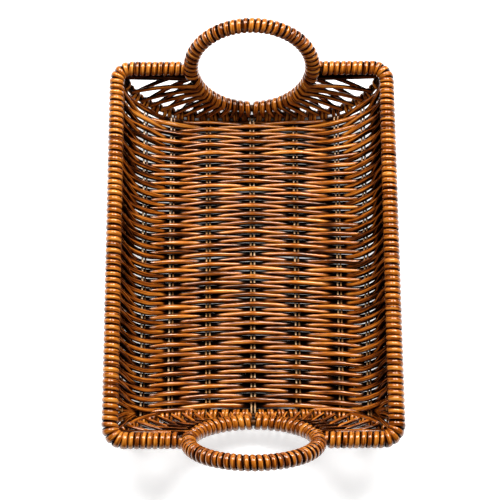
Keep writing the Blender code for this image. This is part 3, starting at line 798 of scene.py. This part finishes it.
# Half an end's loops, from the rim to the middle: each goes from the bow up to the hoop and round it
# through the hand hole, then down the other side and round the bow to the next
def halfLacing(end, side):
    _, rise, back = endFrame(end)
    feet = np.interp(np.array(ends["feet"]) / 1000, sectionX, sectionArc)
    topArc = arcBelowRim(basket["boundRadius"] + ends["bowThick"] + ends["bowRadius"])
    hoopReach = basket["poleRadius"] + ends["hoopThick"]
    advance = 2 / ends["loops"]
    rows = []

    def addLeg(start, finish, shares, way, widths, shade):
        for share, width in zip(shares, widths):
            arch = rise * ends["legArch"] * place ** 2 * math.sin(math.pi * share)
            rows.append((start + (finish - start) * share + arch, way, width, ends["legThick"], shade))

    def addTurns(turned, travel, per, fromArc, fromTurn, bowThick, shade):
        arcs = fromArc - side * travel * (turned - fromTurn) / per
        for turn, bowPoint, towards in zip(0.5 - 2 * turned, bowAt(end, arcs), bowInward(end, arcs)):
            way = back * math.sin(math.pi * turn) - towards * math.cos(math.pi * turn)
            point = bowPoint + way * (ends["bowRadius"] + bowThick)
            rows.append((point, way, ends["bowWide"], bowThick, shade))

    for loop in range(ends["loops"] // 2):
        place = 1 - (loop + 0.5) * advance
        jitter = dice.normal(0, ends["jitter"])
        shade = ends["tone"] + dice.normal(0, ends["toneSpread"])
        spread = place * (1 + ends["crowding"]) - ends["crowding"] * place ** 2
        hoopPoint, outward = hoopAt(end, side * ends["reach"] * spread)
        lead = side * (ends["backLead"] + ends["topBackLead"] * place ** 4)
        leadPoint, _ = hoopAt(end, side * ends["reach"] * spread + lead)
        frontArc = side * feet[loop] + jitter
        nextFoot = feet[min(loop + 1, len(feet) - 1)]
        bowStep = side * (feet[loop] - nextFoot) / (ends["bowTurns"] + 0.5)
        bowThick = ends["bowThick"] * (1 + ends["bowGrowth"] * place)
        bowReach = ends["bowRadius"] + bowThick
        footInward = bowInward(end, frontArc) * math.sin(math.pi * ends["footTurn"])
        footWay = back * math.cos(math.pi * (1 - ends["footTurn"])) - footInward
        frontFoot = bowAt(end, frontArc) + footWay * bowReach
        backFoot = closedFoot(end, side, frontArc, frontFoot, hoopPoint - back * hoopReach)
        lastTurn = ends["bowTurns"] - ends["footTurn"] / 2
        if loop == 0:                           # it starts with two turns round the bow, below the rim
            turned = np.linspace(ends["bowTurns"] - 2, lastTurn, 21)[:-1]
            addTurns(turned, topArc - feet[0], 2 - ends["footTurn"] / 2, side * topArc, ends["bowTurns"] - 2,
                     bowThick, shade)
        shares = np.linspace(0, 1, ends["legSteps"])
        widths = ends["legWide"] + (ends["hoopWide"] - ends["legWide"]) * shares ** 2
        first = -back if end > 0 else back      # the near end's legs cross from the inside to the outside
        addLeg(frontFoot, hoopPoint + first * hoopReach, shares[:-1], -back, widths[:-1], shade)
        for turn in np.linspace(0, math.pi, 7):
            way = first * math.cos(turn) - outward * math.sin(turn)
            point = hoopPoint + (leadPoint - hoopPoint) * turn / math.pi
            rows.append((point + way * hoopReach, way, ends["hoopWide"], ends["hoopThick"], shade))
        # the back leg carries painted shade
        addLeg(leadPoint - first * hoopReach, backFoot, shares[1:], back, widths[::-1][1:],
               shade - ends["backPaintedShade"])
        if loop == ends["loops"] // 2 - 1:
            break
        turned = np.linspace(0, lastTurn, int(2 * ends["bowTurns"] * ends["bowSteps"]) + 1)[2:-1]
        addTurns(turned, abs(bowStep), 1, frontArc - bowStep / 2, 0, bowThick, shade)
    points, ups, wide, thick, tone = (np.array(column) for column in zip(*rows))
    return {"points": points, "ups": ups, "wide": wide, "thick": thick, "tone": tone, "paintedShade": ends["paintedShade"],
            "start": grainStart(), "cutStart": True, "cutEnd": True}


# The outermost leg, which runs from the corner to the hoop right under the rim's end bar
def topLeg(end, side):
    hoopPoint, _ = hoopAt(end, side * ends["topLeg"])
    back = endFrame(end)[2]
    start = np.array((side, end, 1)) * ends["topLegFeet"][end] + zAxis * rimZ
    finish = hoopPoint + end * back * (basket["poleRadius"] + ends["hoopThick"]) / 2
    shares = np.linspace(0, 1, ends["legSteps"])[:, None]
    points = start + (finish - start) * shares
    # the top leg, under the end bar, carries the back legs' painted shade
    return {"points": points, "ups": np.tile(back, (len(points), 1)), "wide": ends["topLegWide"],
            "thick": ends["topLegThick"], "tone": ends["tone"] - ends["backPaintedShade"], "start": grainStart()}


def makeLacing(name, end):
    strands = [part(end, side) for part in (halfLacing, topLeg) for side in (-1, 1)]
    makeStrands(f"fanLacing_{name}", strands, bindingFinish, [f"lacing_{name}"])


makeStakes()
makeWeavers()
makeBorderWeaver()
for cornerName, cornerSide in (("left", -1), ("right", 1)):
    makeCornerWeaver(cornerName, cornerSide)
print("corners filled")
makeRimBindings()
for endName, endSide in (("far", 1), ("near", -1)):
    makeHoopPole(endName, endSide)
    makeGripBinding(endName, endSide)
    makeBow(endName, endSide)
    makeLacing(endName, endSide)
print("hoops bound and laced")


# The rim poles stay as packed, inside the binding, with the pole's finish on plain object coordinates

rimPole = {
    "fibre": (900, 60, 900), "roughness": 0.5,
    "stops": ((0.0, (0.03, 0.010, 0.004)), (1.0, (0.20, 0.070, 0.018))),
}


def makePoleCoreFinish(name):
    material = bpy.data.materials.new(name)
    material.use_nodes = True
    tree = material.node_tree
    shader = tree.nodes["Principled BSDF"]
    place = addNode(tree, "ShaderNodeTexCoord", (-900, 0)).outputs["Object"]
    fibre = stretchedNoise(tree, (-700, 0), place, rimPole["fibre"], 3.0)
    colour = colourRamp(tree, (-250, 0), fibre, rimPole["stops"])
    tree.links.new(colour, shader.inputs["Base Color"])
    shader.inputs["Roughness"].default_value = rimPole["roughness"]
    return material


coreFinish = makePoleCoreFinish("rimPoleWood")
for coreName in ("rim_core_left", "rim_core_right"):
    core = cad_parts[coreName]
    core.data.materials.clear()
    core.data.materials.append(coreFinish)
print("rim poles finished")


# Studio: a pale floor with a painted shadow under the basket, two soft boxes behind, a faint one above, and a
# dim white world

studio = {
    "floorSize": 6.0, "floorColour": (0.80, 0.80, 0.80), "floorGlow": 0.66, "world": 0.04,
    "paintedShadowBoxes": (                        # painted shadow, where the floor doesn't glow: half width, y from and to, soft edge
        (0.075, -0.149, 0.1435, 0.004), (0.041, 0.0, 0.1590, 0.003),
    ),
    "aim": (0.0, 0.0, 0.03),
    "lamps": (                              # name, place, size, power, seen in the lacquer
        ("ceiling", (0.0, 0.10, 1.60), (1.20, 1.20), 3.0, False),
        ("boxLeft", (-0.46, 0.80, 1.19), (0.62, 0.66), 18.0, True),
        ("boxRight", (0.46, 0.80, 1.19), (0.62, 0.66), 22.0, True),
    ),
}


def makeStudio():
    bpy.ops.mesh.primitive_plane_add(size=studio["floorSize"], location=(0, 0, 0))
    floor = bpy.context.object
    floor.name = "floor"
    material = bpy.data.materials.new("paleFloor")
    material.use_nodes = True
    tree = material.node_tree
    shader = tree.nodes["Principled BSDF"]
    shader.inputs["Base Color"].default_value = (*studio["floorColour"], 1)
    shader.inputs["Roughness"].default_value = 0.9
    shader.inputs["Specular IOR Level"].default_value = 0.1
    rays = addNode(tree, "ShaderNodeLightPath", (-600, -200))
    seen = blend(tree, (-400, -200), "MAXIMUM", rays.outputs["Is Camera Ray"], rays.outputs["Is Glossy Ray"])
    place = addNode(tree, "ShaderNodeSeparateXYZ", (-1200, 0))
    tree.links.new(addNode(tree, "ShaderNodeTexCoord", (-1400, 0)).outputs["Object"], place.inputs[0])
    outside = 1.0
    # painted shadow: under the basket the floor loses its glow
    for halfWide, near, far, edge in studio["paintedShadowBoxes"]:
        beyond = 0.0
        for axis, start, end in (("X", -halfWide, halfWide), ("Y", near, far)):
            away = blend(tree, (-1100, 0), "SUBTRACT", place.outputs[axis], (start + end) / 2)
            away = blend(tree, (-1050, 0), "ABSOLUTE", away, 0)
            away = blend(tree, (-1000, 0), "SUBTRACT", away, (end - start) / 2)
            away = blend(tree, (-900, 0), "DIVIDE", away, edge, clamp=True)
            beyond = blend(tree, (-800, 0), "MAXIMUM", away, beyond)
        outside = blend(tree, (-600, 0), "MINIMUM", outside, beyond)
    seen = blend(tree, (-300, -200), "MULTIPLY", seen, outside)
    glow = blend(tree, (-200, -200), "MULTIPLY", seen, studio["floorGlow"])
    shader.inputs["Emission Color"].default_value = (1, 1, 1, 1)
    tree.links.new(glow, shader.inputs["Emission Strength"])
    floor.data.materials.append(material)
    world = bpy.data.worlds.new("studioWorld")
    world.use_nodes = True
    world.node_tree.nodes["Background"].inputs["Color"].default_value = (1, 1, 1, 1)
    world.node_tree.nodes["Background"].inputs["Strength"].default_value = studio["world"]
    bpy.context.scene.world = world
    aim = np.array(studio["aim"])
    for name, place, size, power, inGloss in studio["lamps"]:
        bpy.ops.object.light_add(type="AREA", location=place)
        box = bpy.context.object
        box.name = name
        box.data.shape = "RECTANGLE"
        box.data.size, box.data.size_y = size
        box.data.energy = power
        box.visible_glossy = inGloss
        turnTowards(box, aim)


def turnTowards(thing, target):
    thing.rotation_euler = (Vector(target) - thing.location).to_track_quat("-Z", "Y").to_euler()


view = {                                # seen from the near end, high above
    "azimuth": -0.25, "elevation": 76.0, "distance": 1.2418, "focal": 1400 / 500 * 36, "sensor": 36.0,
    "aim": (-0.0023, -0.0018),
}


def makeCamera():
    azimuth, elevation = math.radians(view["azimuth"]), math.radians(view["elevation"])
    aim = np.array((*view["aim"], rimZ))
    away = np.array((math.sin(azimuth) * math.cos(elevation), -math.cos(azimuth) * math.cos(elevation),
                     math.sin(elevation)))
    bpy.ops.object.camera_add(location=tuple(aim + away * view["distance"]))
    camera = bpy.context.object
    camera.data.lens = view["focal"]
    camera.data.sensor_width = view["sensor"]
    camera.data.sensor_fit = "HORIZONTAL"
    camera.data.clip_start = 0.01
    turnTowards(camera, aim)
    bpy.context.scene.camera = camera


makeStudio()
makeCamera()
bpy.context.scene.view_settings.view_transform = "Standard"
print("studio and camera set")
